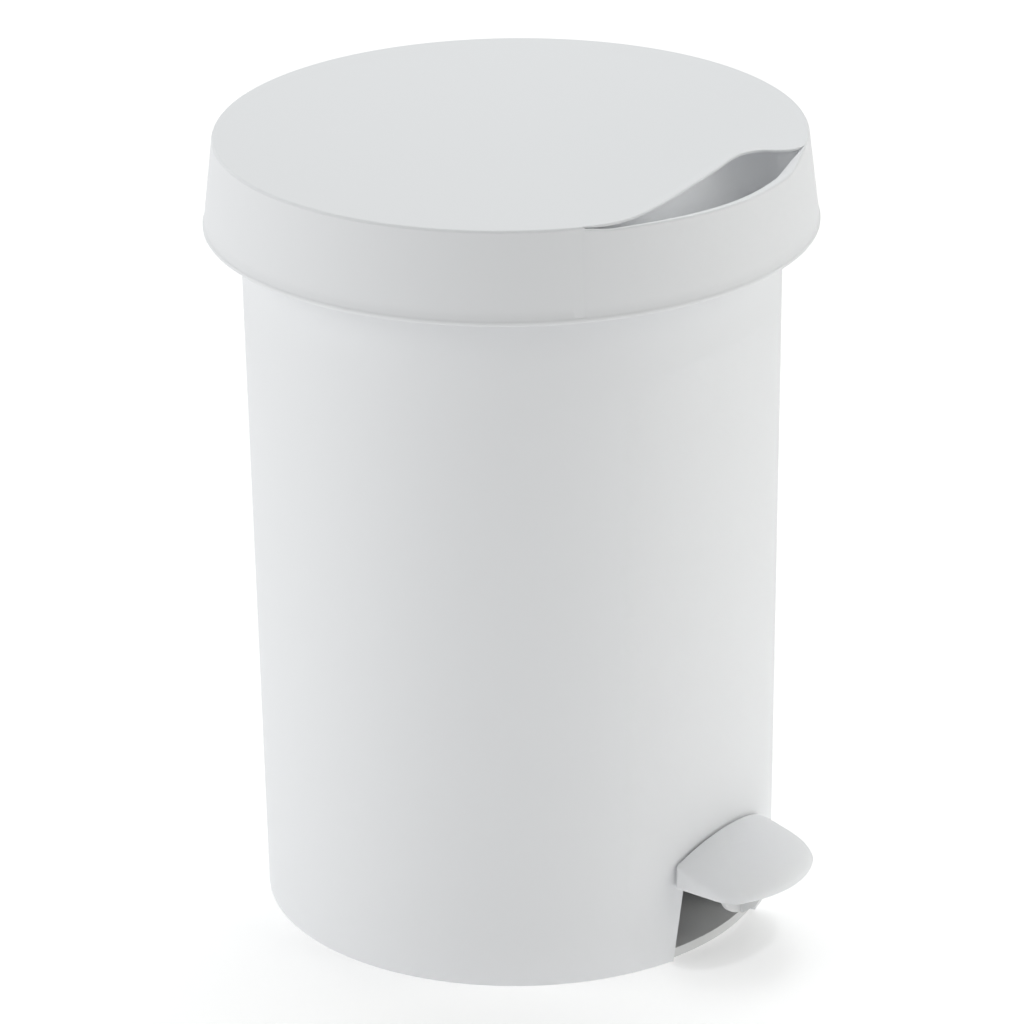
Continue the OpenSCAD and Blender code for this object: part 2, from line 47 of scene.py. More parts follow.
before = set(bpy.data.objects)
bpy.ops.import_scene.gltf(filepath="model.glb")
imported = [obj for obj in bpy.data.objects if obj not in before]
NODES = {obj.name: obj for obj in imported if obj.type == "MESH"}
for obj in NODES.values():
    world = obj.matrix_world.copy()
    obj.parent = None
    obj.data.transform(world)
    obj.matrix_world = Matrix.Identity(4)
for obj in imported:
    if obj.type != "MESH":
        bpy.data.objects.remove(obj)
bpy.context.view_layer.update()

MM = 0.001
BODY_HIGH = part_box("outer_body")[1]
LID_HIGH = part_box("lid")[1]
PAD_LOW, PAD_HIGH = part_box("pedal_pad")

# Window in the skirt that clears the hinge bracket: half its width, the run of its sides, its height
WINDOW_HALF, WINDOW_SLOPE, WINDOW_RISE = 24.9 * MM, 0.5 * MM, 12.3 * MM

# Lip of the finger recess in plan: from the seam, a long gentle S, then a short return to the rim
LIP_POINTS = MM * np.array([
    [-63.3, -78.4], [-54.5, -84.0], [-45.0, -86.3], [-34.0, -86.2], [-22.0, -85.0], [6.0, -80.8],
    [20.0, -78.2], [27.0, -78.4], [32.4, -81.4], [35.6, -86.0], [39.6, -89.6], [45.4, -90.6],
])

FINISH_OF_NODE = {
    "base_plate": "white", "rod_guide": "white", "hinge_bracket": "white", "hinge_pin_caps": "white",
    "outer_body": "white", "lid": "white", "pedal_pad": "white", "pedal_lever": "white",
    "lift_bracket": "white",
    "inner_bucket": "grey", "handle_bushes": "grey", "handle_grip": "grey",
    "base_screws": "steel", "guide_screws": "steel", "hinge_screws": "steel", "bracket_screws": "steel",
    "pedal_screws": "steel", "pedal_axle": "wire", "hinge_pin": "wire", "lift_rod": "wire",
    "bucket_handle": "wire", "axle_clips": "steel", "rod_lower_clip": "steel", "rod_upper_clip": "steel",
    "anti_slip_pads": "rubber", "lid_bumpers": "rubber",
}


# ---- Properties -------------------------------------------------------------


def length(name, description, millimetres):
    """Length property whose default is given in millimetres."""
    return FloatProperty(
        name=name, description=description, default=millimetres * MM, min=0.0, unit="LENGTH", precision=5
    )


def share(name, description, default):
    """Number between 0 and 1 as a property."""
    return FloatProperty(
        name=name, description=description, default=default, min=0.0, max=1.0, subtype="FACTOR"
    )


def colour(name, description, default):
    """Linear RGB colour as a property."""
    return FloatVectorProperty(
        name=name, description=description, default=default, size=3, min=0.0, max=1.0, subtype="COLOR"
    )


class PEDALBIN_PG_lid(bpy.types.PropertyGroup):
    top: FloatProperty(
        name="Top", description="Height of the closed lid's top", default=LID_HIGH.z, unit="LENGTH"
    )
    skirt_height: length("Skirt height", "Height of the skirt", 31.5)
    upper_radius: length("Upper radius", "Radius at the lid's top edge", 101.3)
    lower_radius: length("Lower radius", "Radius at the skirt's lower edge", 105.1)
    wall: length("Wall", "Thickness of the plate and the skirt", 2)
    edge_radius: length("Edge radius", "Rounding of the top edge away from the recess", 0.9)
    rim_radius: length("Rim radius", "Rounding of the top edge in front of the recess", 0.6)
    rim_drop: length("Rim drop", "How far the rim in front of the recess stands below the top", 3)
    lip: length("Lip", "Thickness of the recess's lip", 1.1)
    bead: length("Bead", "How far the bead along the lower edge stands out", 0.3)
    recess_depth: length("Recess depth", "Depth of the finger recess below the top", 16.4)
    overhang: length("Overhang", "How far the recess reaches back under the lip", 9)
    roll: length("Roll", "Widest soft roll from the rim into the recess", 7)
    dip: length("Dip", "How far the plate dips before it curls up to the lip", 0.22)
    seam_step: length("Seam step", "How far the skirt draws in before the recess's seam", 0.14)
    seam_ridge: length("Seam ridge", "Height of the fine ridge that the mould leaves at the seam", 0.1)


class PEDALBIN_PG_body(bpy.types.PropertyGroup):
    height: FloatProperty(
        name="Height", description="Height of the body's rim", default=BODY_HIGH.z, unit="LENGTH"
    )
    floor_radius: length("Floor radius", "Outer radius at the floor", 89.75)
    rim_radius: length("Rim radius", "Outer radius under the rim's bead", 92.8)
    wall: length("Wall", "Thickness of the wall", 2)
    bead: length("Bead", "How far the rim's bead stands out", 2.5)
    notch_low: length("Notch width, low", "Width of the pedal notch at the floor", 48.8)
    notch_high: length("Notch width, high", "Width of the pedal notch at its top", 38.6)
    notch_height: length("Notch height", "Height of the pedal notch", 37)
    notch_corner: length("Notch corner", "Rounding of the notch's upper corners", 3)
    edge: length("Edge", "Rounding of the wall's free edges", 0.6)


class PEDALBIN_PG_pedal(bpy.types.PropertyGroup):
    width: FloatProperty(
        name="Width", description="Width of the pad", default=PAD_HIGH.x - PAD_LOW.x, unit="LENGTH"
    )
    reach: FloatProperty(
        name="Reach",
        description="Distance of the pad's tip from the axis",
        default=-PAD_LOW.y,
        unit="LENGTH",
    )
    rim: FloatProperty(
        name="Rim height", description="Height of the pad's lower edge", default=PAD_LOW.z, unit="LENGTH"
    )
    dome: length("Dome radius", "Radius of the ball that the top is part of", 57.5)
    back: length("Back radius", "Radius of the hollow back, which follows the body", 91.1)
    edge: length("Edge radius", "Rounding between the dome and the apron", 4.4)
    back_edge: length("Back edge radius", "Rounding of the dome's edge along the body", 0.7)
    wall: length("Wall", "Thickness of the pad", 2.2)


class PEDALBIN_PG_finish(bpy.types.PropertyGroup):
    white: colour("White plastic", "Colour of the lid, body and pedal", (0.79, 0.795, 0.80))
    white_worn: colour("Handled white", "Colour where hands and shoes rub", (0.74, 0.74, 0.73))
    grey: colour("Grey plastic", "Colour of the bucket and grip", (0.52, 0.535, 0.55))
    grey_worn: colour("Handled grey", "Colour of scuffs on the bucket", (0.60, 0.61, 0.62))
    steel: colour("Steel", "Colour of screws and clips", (0.62, 0.62, 0.63))
    steel_dull: colour("Dull steel", "Colour of the zinc bloom on steel", (0.48, 0.49, 0.50))
    rubber: colour("Rubber", "Colour of feet and bumpers", (0.075, 0.075, 0.08))
    rubber_dust: colour("Dusty rubber", "Colour of dust held by rubber", (0.16, 0.155, 0.15))
    plastic_roughness: share("Plastic roughness", "Roughness of the satin plastic", 0.42)


class PEDALBIN_PG_stage(bpy.types.PropertyGroup):
    azimuth: FloatProperty(
        name="Azimuth",
        description="Camera direction round the bin",
        default=math.radians(-52),
        subtype="ANGLE",
    )
    elevation: FloatProperty(
        name="Elevation", description="Camera height angle", default=math.radians(22.8), subtype="ANGLE"
    )
    roll: FloatProperty(
        name="Roll", description="Turn of the camera about its axis", default=-0.0130, subtype="ANGLE"
    )
    distance: length("Distance", "Camera distance from its target", 1910.6)
    target_height: length("Target height", "Height that the camera looks at", 139.3)
    target_side: FloatProperty(
        name="Target side", description="Sideways place of the target", default=-0.00115, unit="LENGTH"
    )
    floor: colour("Floor", "Colour of the floor", (0.93, 0.93, 0.93))


class PEDALBIN_PG_all(bpy.types.PropertyGroup):
    lid: PointerProperty(type=PEDALBIN_PG_lid)
    body: PointerProperty(type=PEDALBIN_PG_body)
    pedal: PointerProperty(type=PEDALBIN_PG_pedal)
    finish: PointerProperty(type=PEDALBIN_PG_finish)
    stage: PointerProperty(type=PEDALBIN_PG_stage)


# ---- Surfaces ---------------------------------------------------------------


def ease(t):
    """Smooth step: 3t^2 - 2t^3 with t held between 0 and 1."""
    t = np.clip(t, 0.0, 1.0)
    return t * t * (3 - 2 * t)


def direction(angle):
    """Unit vectors in plan at angles counted from the front (-Y) towards +X."""
    return np.stack([np.sin(angle), -np.cos(angle)], -1)


def spline(points, steps):
    """Smooth curve through points, by the Catmull-Rom rule, with its ends continued straight."""
    p = np.vstack([2 * points[0] - points[1], points, 2 * points[-1] - points[-2]])
    t = np.linspace(0, 1, steps, endpoint=False)[None, :, None]
    a, b, c, d = (p[i : len(p) - 3 + i, None, :] for i in range(4))
    curve = 0.5 * (2 * b + (c - a) * t + (2 * a - 5 * b + 4 * c - d) * t**2 + (3 * b - a - 3 * c + d) * t**3)
    return np.vstack([curve.reshape(-1, points.shape[1]), points[-1:]])


def along(curve, count):
    """A curve cut again into equal lengths, with count points."""
    run = np.append(0, np.cumsum(np.linalg.norm(np.diff(curve, axis=0), axis=1)))
    at = np.linspace(0, run[-1], count)
    return np.stack([np.interp(at, run, curve[:, k]) for k in range(curve.shape[1])], -1)


def grid_faces(nu, nv, close_u=False, close_v=False):
    """Quads of an nu by nv grid of points, point (i, j) standing at i * nv + j."""
    i, j = np.meshgrid(
        np.arange(nu if close_u else nu - 1), np.arange(nv if close_v else nv - 1), indexing="ij"
    )
    i2, j2 = (i + 1) % nu, (j + 1) % nv
    return np.stack([i * nv + j, i2 * nv + j, i2 * nv + j2, i * nv + j2], -1).reshape(-1, 4)


def add_piece(name, patches, body, node, material, sharp=35):
    """One mesh from (points, faces) patches: doubles merged, normals outward, smooth below an angle."""
    counts = np.cumsum([0] + [len(points) for points, _ in patches])
    mesh = bpy.data.meshes.new(name)
    mesh.from_pydata(
        np.vstack([points for points, _ in patches]),
        [],
        np.vstack([faces + start for (_, faces), start in zip(patches, counts)]).tolist(),
    )
    shape = bmesh.new()
    shape.from_mesh(mesh)
    bmesh.ops.remove_doubles(shape, verts=shape.verts, dist=2e-6)
    bmesh.ops.dissolve_degenerate(shape, edges=shape.edges, dist=1e-6)
    bmesh.ops.recalc_face_normals(shape, faces=shape.faces)
    shape.to_mesh(mesh)
    shape.free()
    mesh.polygons.foreach_set("use_smooth", np.ones(len(mesh.polygons), dtype=bool))
    mesh.set_sharp_from_angle(angle=math.radians(sharp))
    piece = bpy.data.objects.new(name, mesh)
    bpy.context.scene.collection.objects.link(piece)
    mesh.materials.append(material)
    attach(piece, body)
    if node:
        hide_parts(node)
    return piece


def closed_grid(points, close_u=True, close_v=False):
    """Patch from an (nu, nv, 3) array of points."""
    nu, nv = points.shape[:2]
    return points.reshape(-1, 3), grid_faces(nu, nv, close_u, close_v)


def turned(profile, centre, columns=32):
    """Patch of a profile of (radius, height) points carried once round a vertical axis."""
    angle = np.linspace(0, 2 * math.pi, columns, endpoint=False)
    spoke = direction(angle)[:, None, :] * profile[None, :, :1] + centre
    height = np.broadcast_to(profile[None, :, 1:], (columns, len(profile), 1))
    return closed_grid(np.concatenate([spoke, height], -1))


def bar_along_x(outline, x_low, x_high, edge):
    """Closed prism of a (y, z) outline between two x planes, its rims drawn in by an edge chamfer.

    Each end is a point, then the outline pulled towards its middle by 1, 0.3 and 0 edges, set in by 0, 0.3
    and 1 edge along X.
    """
    middle = outline.mean(0)
    reach = np.linalg.norm(outline - middle, axis=1, keepdims=True)
    pull = np.array([np.inf, 1.0, 0.3, 0.0, 0.0, 0.3, 1.0, np.inf])
    inset = edge * np.array([0, 0, 0.3, 1])
    x = np.concatenate([x_low + inset, x_high - inset[::-1]])
    scale = np.maximum(1 - pull[None, :] * edge / reach, 0)
    ring = middle + (outline - middle)[:, None, :] * scale[:, :, None]
    points = np.concatenate([np.broadcast_to(x[None, :, None], ring.shape[:2] + (1,)), ring], -1)
    return closed_grid(points)


def round_arc(y, z, radius, start, stop, count):
    """Points of an arc in the YZ plane, angles in degrees from +Y towards +Z."""
    a = np.radians(np.linspace(start, stop, count))
    return np.stack([y + radius * np.cos(a), z + radius * np.sin(a)], -1)


# ---- Lid --------------------------------------------------------------------


def lid_columns(lid):
    """Plan of the lid as columns round it, counted from the front towards +X.

    On the recess's columns the lip is the S-curve, held just inside the top edge, and a column's angle is
    0.3 of its lip point's and 0.7 of an even spread. On all other columns lip and crest are the same point.
    The rim falls by a quarter of its drop in half a degree past the seam, by 0.3 in 6 degrees and by the
    rest from 8 to 42 degrees, and climbs back over the last 15. Returns per column: angle, crest radius and
    height, edge rounding, lip point, inward normal, gap between lip and crest, and how far the recess is
    developed, which is 1 - e^(-(gap + drop / 2) / 1.3 mm). Last comes the number of the recess's columns.
    """
    curve = along(spline(LIP_POINTS, 24), 240)
    lip_angle = np.arctan2(curve[:, 0], -curve[:, 1])
    start, stop = lip_angle[0], lip_angle[-1]
    f = np.linspace(0, 1, len(curve))
    front = start + (stop - start) * (0.3 * (lip_angle - start) / (stop - start) + 0.7 * f)
    window = np.arcsin(np.array([WINDOW_HALF - WINDOW_SLOPE, WINDOW_HALF]) / lid.upper_radius)
    side = np.concatenate([math.pi - window, math.pi + window])
    seam = np.radians([0.12, 0.3, 0.6, 1.0, 1.6, 2.4, 3.4])
    plain = np.arange(stop, start + 2 * math.pi, math.radians(1.0))[2:-2]
    plain = np.sort(np.concatenate([plain, side, stop + seam[:3], start + 2 * math.pi - seam]))
    angle = np.concatenate([front, plain])
    count = len(front)

    off_recess = np.concatenate([np.zeros(count), np.minimum(plain - stop, start + 2 * math.pi - plain)])
    rounding = lid.rim_radius + (lid.edge_radius - lid.rim_radius) * ease(off_recess / math.radians(6))
    past_seam, to_end = np.degrees(front - start), np.degrees(stop - front)
    drop = np.zeros(len(angle))
    fall = 0.25 * ease(past_seam / 0.5) + 0.3 * ease(past_seam / 6) + 0.45 * ease((past_seam - 8) / 34)
    drop[:count] = fall * lid.rim_drop * ease(to_end / 15)
    crest = lid.upper_radius + (lid.lower_radius - lid.upper_radius) * drop / lid.skirt_height - rounding
    limit = lid.upper_radius - rounding[:count] - 0.15 * MM * ease(np.minimum(f / 0.01, (1 - f) / 0.04))
    reach = np.linalg.norm(curve, axis=1)
    curve = curve * np.minimum(1, limit / reach)[:, None]
    lip = crest[:, None] * direction(angle)
    lip[:count] = curve
    gap = np.zeros(len(angle))
    gap[:count] = np.linalg.norm(curve - crest[:count, None] * direction(front), axis=1)
    gap[[0, count - 1]] = 0
    lip[[0, count - 1]] = (crest[:, None] * direction(angle))[[0, count - 1]]

    open_share = 1 - np.exp(-(gap + 0.5 * drop) / (1.3 * MM))
    tangent = np.gradient(curve, axis=0)
    tangent /= np.linalg.norm(tangent, axis=1, keepdims=True)
    inward = -direction(angle)
    bent = np.stack([-tangent[:, 1], tangent[:, 0]], -1)
    inward[:count] = inward[:count] * (1 - open_share[:count, None]) + bent * open_share[:count, None]
    inward /= np.linalg.norm(inward, axis=1, keepdims=True)
    return angle, crest, lid.top - drop, rounding, lip, inward, gap, open_share, count


def lid_shell(lid):
    """Whole lid as one closed surface: columns round it, rows from the top's middle, over the lip,
    through the recess, over the rim, down the skirt and back up the inside to the plate's underside.

    Plate: straight rays from a middle point to the lip, dipped by dip * x * e^(1 - x) at x * 4 mm from it.
    Trough: half a superellipse, s = middle + half * cos^0.62, z = base - depth * sin^0.62, that reaches in
    under the lip and fades there over the last 16 degrees.
    Rim: quarter ellipse inside, whose width is roll * (1 - e^(-0.45 * gap / roll)), and quarter circle
    outside. Skirt: cone. Bead: short rounded rib of (height, part of the bead's depth) pairs.
    """
    angle, crest, crest_z, rounding, lip, inward, gap, open_share, count = lid_columns(lid)
    top, wall = lid.top, lid.wall
    around = direction(angle)
    low = top - lid.skirt_height
    rows = []

    def row(plan, height):
        rows.append(np.column_stack([plan, np.broadcast_to(height, len(plan))]))

    # Top plate, dense near the lip
    lip_thick = lid.lip * ease((gap + top - crest_z) / (1.6 * MM))
    lip_round = lip_thick / 2
    edge = lip + inward * lip_round[:, None]
    hub = np.array([15 * MM, 0.0])
    span = np.linalg.norm(edge - hub, axis=1)
    for t in [0, 0.3, 0.6, 0.75, 0.84, 0.88, 0.91, 0.93, 0.945, 0.958, 0.968, 0.976, 0.983, 0.989, 0.994, 1]:
        x = (1 - t) * span / (4 * MM)
        row(hub + t * (edge - hub), top - lid.dip * open_share * x * np.exp(1 - x))
    # Rounded lip and its underside
    for b in np.radians([25, 50, 75, 100, 125, 150, 180]):
        row(edge - inward * (lip_round * math.sin(b))[:, None], top - lip_round * (1 - math.cos(b)))
    under = lid.overhang * open_share * ease((angle[count - 1] - angle) / math.radians(16))
    for t in [0.3, 0.65]:
        row(lip + inward * (under * t)[:, None], top - lip_thick)

    # Trough of the recess and its roll up to the rim
    crest_point = crest[:, None] * around

    def across(s):
        ahead = np.clip(s / np.maximum(gap, 1e-9), 0, 1)[:, None]
        behind = np.maximum(s - gap, 0)[:, None]
        return crest_point + (lip - crest_point) * ahead + inward * behind

    roll = lid.roll * (1 - np.exp(-0.45 * gap / lid.roll))
    roll_drop = 0.75 * roll
    far = gap + under
    middle, half = (far + roll) / 2, (far - roll) / 2
    for a in np.linspace(0, math.pi, 26):
        c, s = math.cos(a), math.sin(a)
        base = (top - lip_thick) * (1 + c) / 2 + (crest_z - roll_drop) * (1 - c) / 2
        depth = np.maximum(top / 2 + crest_z / 2 - top + lid.recess_depth * open_share
                           - (lip_thick + roll_drop) / 2, 0)
        row(across(middle + half * math.copysign(abs(c) ** 0.62, c)), base - depth * s**0.62)
    for b in np.radians(np.linspace(12, 90, 8)):
        row(across(roll * math.cos(b)), crest_z - roll_drop * (1 - math.sin(b)))

    # Outer edge and skirt, drawn in towards the seam
    before_seam = np.mod(angle[0] - angle, 2 * math.pi)
    after_end = np.mod(angle - angle[count - 1], 2 * math.pi)
    drawn = np.exp(-before_seam / math.radians(2.2)) + np.exp(-after_end / math.radians(2.2))
    nearer, further = np.minimum(before_seam, after_end), np.maximum(before_seam, after_end)
    ridge = np.exp(-((np.minimum(nearer, 2 * math.pi - further) / math.radians(0.16)) ** 2))
    step = lid.seam_step * drawn - lid.seam_ridge * ridge
    for b in np.radians([12, 26, 40, 54, 68, 82]):
        row((crest + (rounding - step) * math.sin(b))[:, None] * around,
            crest_z - rounding * (1 - math.cos(b)))
    across_x = np.abs(around[:, 0]) * lid.upper_radius
    in_window = (around[:, 1] > 0) * ease((WINDOW_HALF - across_x) / WINDOW_SLOPE)
    foot = low + WINDOW_RISE * in_window

    def skirt(z):
        return lid.upper_radius + (lid.lower_radius - lid.upper_radius) * (top - z) / lid.skirt_height

    for t in np.linspace(0, 1, 9):
        z = (crest_z - rounding) * (1 - t) + (foot + 1.7 * MM) * t
        row((skirt(z) - step)[:, None] * around, z)
    bead = lid.bead * (1 - in_window)
    bead_shape = [(1.5, 0.35), (1.3, 0.85), (1.0, 1), (0.6, 1), (0.25, 0.8), (0.06, 0.2), (0, -0.8)]
    for up, out in bead_shape:
        z = foot + up * MM
        row((skirt(z) + bead * out)[:, None] * around, z)

    # Inside of the skirt, underside of the recess and of the plate
    fillet = 1.5 * MM
    pocket_floor = top - wall - lid.recess_depth * open_share
    row((skirt(foot) - wall + 0.2 * MM)[:, None] * around, foot)
    for t in np.linspace(0, 1, 6):
        z = (foot + 0.2 * MM) * (1 - t) + (pocket_floor - fillet) * t
        row((skirt(z) - wall)[:, None] * around, z)
    inner = skirt(pocket_floor) - wall
    for b in np.radians([30, 60, 90]):
        row((inner - fillet * (1 - math.cos(b)))[:, None] * around, pocket_floor - fillet * (1 - math.sin(b)))
    corner = (inner - fillet)[:, None] * around
    back = lip + inward * (under + wall * open_share)[:, None]
    back = corner + (back - corner) * ease(open_share / 0.25)[:, None]
    for t in [0.3, 0.6, 0.8]:
        row(corner + (back - corner) * t, pocket_floor)
    rise = (top - wall) - pocket_floor
    for b in np.radians(np.linspace(0, 90, 7)):
        row(corner + (back - corner) * (0.85 + 0.15 * math.sin(b)), pocket_floor + rise * (1 - math.cos(b)))
    for t in [0.9, 0.6, 0.3, 0]:
        row(hub + t * (back - hub), top - wall)
    return closed_grid(np.stack(rows, 1))


def hinge_arms(lid):
    """Knuckles and arms of the hinge: the outline is a knuckle's outer arc joined to a straight arm."""
    pin_low, pin_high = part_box("hinge_pin")
    y, z = (pin_low.y + pin_high.y) / 2, (pin_low.z + pin_high.z) / 2
    knuckle, arm_width, into_plate = 4.15 * MM, 5 * MM, 1.2 * MM
    outline = np.vstack([
        round_arc(y, z, knuckle, 180, 360, 20),
        [[y + 3.6 * MM, z + 6 * MM], [y + 2.4 * MM, lid.top - 12 * MM], [y - 1 * MM, lid.top - into_plate]],
        [[y - knuckle, lid.top - into_plate], [y - knuckle, z + 8 * MM]],
    ])
    return [bar_along_x(outline, x, x + arm_width, 0.5 * MM) for x in (-15.5 * MM, 10.5 * MM)]


def lid_posts(lid):
    """Bosses under the plate as turned profiles: four bumper posts and two for the lift bracket."""
    patches = []
    underside = lid.top - lid.wall + 0.4 * MM
    bumper_circle, bumper_plug = 89.5 * MM, 3.5 * MM
    bumper_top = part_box("lid_bumpers")[1].z - bumper_plug
    for a in np.radians([-150, -30, 35, 145]):
        centre = bumper_circle * np.array([math.cos(a), math.sin(a)])
        profile = np.array([
            [0, underside], [5.2 * MM, underside], [4.4 * MM, underside - 1.2 * MM],
            [4.2 * MM, bumper_top + 0.4 * MM], [3.9 * MM, bumper_top], [0, bumper_top],
        ])
        patches.append(turned(profile, centre))
    bracket_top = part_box("lift_bracket")[1].z
    for x in (-7, 13.5):
        profile = np.array([
            [0, underside], [5 * MM, underside], [4.2 * MM, underside - 1 * MM],
            [4 * MM, bracket_top + 0.3 * MM], [3.8 * MM, bracket_top], [0, bracket_top],
        ])
        patches.append(turned(profile, np.array([x, 84]) * MM))
    return patches


class PEDALBIN_OT_lid(bpy.types.Operator):
    """Builds the lid's shell with its finger recess, its hinge arms and the posts under it"""

    bl_idname = "pedalbin.lid"
    bl_label = "Lid"

    def execute(self, context):
        lid = context.scene.pedal_bin.lid
        white = bpy.data.materials["white_plastic"]
        shell = add_piece("lid_shell", [lid_shell(lid)], "lid", "lid", white)
        arms = add_piece("lid_hinge_arms", hinge_arms(lid), "lid", None, white)
        posts = add_piece("lid_posts", lid_posts(lid), "lid", None, white)
        return {"FINISHED"}


# ---- Body -------------------------------------------------------------------


def body_shell(body):
    """Body's wall as one closed surface: columns round it, rows round the wall's section.

    The wall's lower edge runs round the floor circle and over the notch; equal lengths of it stand under
    equal angles of the rim. A column is straight on the cone between the two. Near the rim the radius adds
    the bead, and the slot behind the lift rod holds the columns' tops down.
    """
    slope = (body.rim_radius - body.floor_radius) / body.height

    def radius(z):
        return body.floor_radius + slope * z

    # Lower edge in (angle, height): notch from its foot, over the top, and on round the floor
    low, high, tall, r = body.notch_low / 2, body.notch_high / 2, body.notch_height, body.notch_corner
    a = np.radians(np.linspace(180, 90, 12))
    corner = np.stack([r - high + r * np.cos(a), tall - r + r * np.sin(a)], -1)
    lean = np.stack([np.linspace(-low, -high, 40), np.linspace(0, tall - r, 40)], -1)
    left = np.vstack([lean[:-1], corner])
    notch = np.vstack([left, left[::-1] * [-1, 1]])
    notch[:, 0] = np.arcsin(notch[:, 0] / radius(notch[:, 1]))
    floor_angle = np.linspace(notch[-1, 0], 2 * math.pi + notch[0, 0], 1200)
    edge = np.vstack([notch, np.column_stack([floor_angle, 0 * floor_angle])[1:]])
    flat = edge * [body.floor_radius, 1]
    run = np.append(0, np.cumsum(np.linalg.norm(np.diff(flat, axis=0), axis=1)))
    share_of = run / run[-1]
    foot_share = share_of[len(notch) - 1]
    slot_half, slot_depth, slot_slope = 22.5 * MM, 9 * MM, 0.006
    cut = math.asin(slot_half / body.rim_radius)
    slot = math.pi + np.array([-cut - slot_slope, -cut, cut, cut + slot_slope])
    rim_start = -foot_share * math.pi
    slot_share = (slot - rim_start) / (2 * math.pi)
    u = np.sort(np.concatenate([
        np.linspace(0, foot_share, 110),
        np.linspace(foot_share, 1, 330, endpoint=False)[1:],
        slot_share,
    ]))
    base = np.stack([np.interp(u, share_of, edge[:, k]) for k in (0, 1)], -1)
    tangent = np.gradient(base * [body.floor_radius, 1], axis=0)
    tangent[0] = tangent[1]
    tangent /= np.linalg.norm(tangent, axis=1, keepdims=True)
    normal = np.stack([-tangent[:, 1], tangent[:, 0]], -1)
    rim_angle = rim_start + 2 * math.pi * u
    inside_slot = ease((rim_angle - slot[0]) / slot_slope) * ease((slot[3] - rim_angle) / slot_slope)
    rim_z = body.height - slot_depth * inside_slot
    rows = []

    def row(angle, z, out):
        plan = direction(angle) * (radius(z) + out)[:, None]
        rows.append(np.column_stack([plan, z]))

    def lower_edge(inset, out):
        moved = base + normal * inset / [body.floor_radius, 1]
        row(moved[:, 0], np.maximum(moved[:, 1], 0), np.full(len(u), out))

    def side(t, out):
        moved = base + normal * body.edge / [body.floor_radius, 1]
        z = moved[:, 1] * (1 - t) + (body.height - 10 * MM) * t
        row(moved[:, 0] * (1 - t) + rim_angle * t, z, np.full(len(u), out))

    bead_shape = [
        (10, 0), (8.6, 0), (7.4, 0.04), (6.6, 0.16), (5.9, 0.42), (5.3, 0.72), (4.8, 0.92), (4.3, 1), (3, 1),
        (1.4, 1), (0.7, 0.94), (0.25, 0.8), (0, 0.6),
    ]
    for turn in (90, 60, 30, 0):
        b = math.radians(turn)
        lower_edge(body.edge * (1 - math.sin(b)), -body.edge * (1 - math.cos(b)))
    for t in np.linspace(0, 1, 22)[1:-1]:
        side(t, 0)
    for down, out in bead_shape:
        z = np.minimum(body.height - down * MM, rim_z)
        row(rim_angle, z, body.bead * np.full(len(u), out))
    row(rim_angle, rim_z, np.full(len(u), 0.3 * MM - body.wall))
    row(rim_angle, rim_z - 0.3 * MM, np.full(len(u), -body.wall))
    for t in np.linspace(1, 0, 8):
        side(t, -body.wall)
    lower_edge(body.edge * 0.4, -body.wall)
    lower_edge(0, 0.4 * body.edge - body.wall)
    return closed_grid(np.stack(rows, 1), close_v=True)


def body_seats():
    """Hinge seat and guide seat as bars along X, and the four screw columns as turned profiles."""
    seat = MM * np.array([
        [90.6, 227], [91.6, 227.4], [93.4, 232.8], [93.8, 234.4], [93.8, 248.4], [93.4, 249], [90.6, 249],
    ])
    guide = MM * np.array([[88, 115.6], [88.4, 115], [89.25, 115], [89.25, 135], [88.4, 135], [88, 134.4]])
    patches = [
        bar_along_x(seat, -22 * MM, 22 * MM, 0.5 * MM),
        bar_along_x(guide, -17.6 * MM, 17.6 * MM, 0.4 * MM),
    ]
    screw_circle = 82.4 * MM
    profile = MM * np.array([[0, 3.6], [5.1, 3.6], [5.1, 19], [4.7, 19.8], [2, 20], [2, 17], [0, 17]])
    for a in np.radians([40, 140, 215, 325]):
        centre = screw_circle * np.array([math.cos(a), math.sin(a)])
        patches.append(turned(profile, centre))
    return patches


class PEDALBIN_OT_body(bpy.types.Operator):
    """Builds the tapered outer body with its notch, rim bead, seats and screw columns"""

    bl_idname = "pedalbin.body"
    bl_label = "Outer body"

    def execute(self, context):
        body = context.scene.pedal_bin.body
        white = bpy.data.materials["white_plastic"]
        shell = add_piece("body_shell", [body_shell(body)], "shell", "outer_body", white)
        seats = add_piece("body_seats", body_seats(), "shell", None, white)
        return {"FINISHED"}


# ---- Pedal ------------------------------------------------------------------


def pad_outline(pedal, count=320):
    """Pad in plan: two straight sides, rounded corners, a bowed front and a hollow back along the body."""
    half, front, corner = pedal.width / 2, 38 * MM, 11 * MM
    front_y = front - pedal.reach
    corner_y = front_y - math.sqrt((front - corner) ** 2 - (half - corner) ** 2)
    turn = math.atan2(corner_y - front_y, half - corner)
    back, small = pedal.back, 0.9 * MM

    def arc(x, y, radius, start, stop, steps):
        a = np.linspace(start, stop, steps)
        return np.stack([x + radius * np.cos(a), y + radius * np.sin(a)], -1)

    bow = math.asin((half - small) / (back + small))
    cx, cy = (back + small) * math.sin(bow), -(back + small) * math.cos(bow)
    right = np.vstack([
        arc(0, 0, back, -math.pi / 2, bow - math.pi / 2, 30),
        arc(cx, cy, small, bow + math.pi / 2, 0, 10),
        arc(half - corner, corner_y, corner, 0, turn, 24),
        arc(0, front_y, front, turn, -math.pi / 2, 60),
    ])
    loop = np.vstack([right, (right * [-1, 1])[::-1][1:]])
    return along(loop, count + 1)[:-1]


